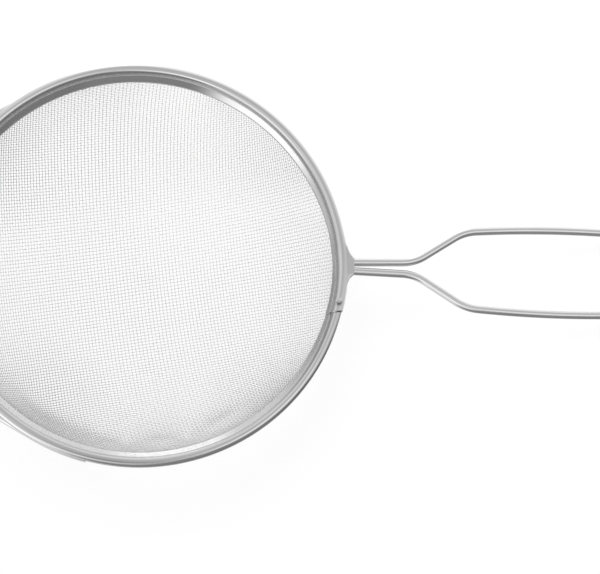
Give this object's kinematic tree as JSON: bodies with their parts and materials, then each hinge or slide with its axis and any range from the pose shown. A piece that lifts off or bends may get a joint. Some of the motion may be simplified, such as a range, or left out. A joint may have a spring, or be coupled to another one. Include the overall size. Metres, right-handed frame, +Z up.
{
  "type": "wire strainer",
  "caption": "Round kitchen strainer: woven wire bowl held in a folded sheet rim, with a long looped wire handle and a wide wire rest opposite it.",
  "frame": {"origin": "centre of the small flat under the bowl", "axes": "+X along the handle, +Z up and square to the rim"},
  "size_m": [0.4119, 0.2, 0.0838],
  "materials": {
    "drawn_wire": "bright drawn stainless wire",
    "rim_sheet": "bright rolled stainless sheet, lightly streaked",
    "wire_cloth": "fine woven stainless wire cloth"
  },
  "bodies": {
    "root": {"frame_wire": "drawn_wire", "rim_strip": "rim_sheet", "mesh_bowl": "wire_cloth", "rest_hook": "drawn_wire"}
  },
  "joints": []
}
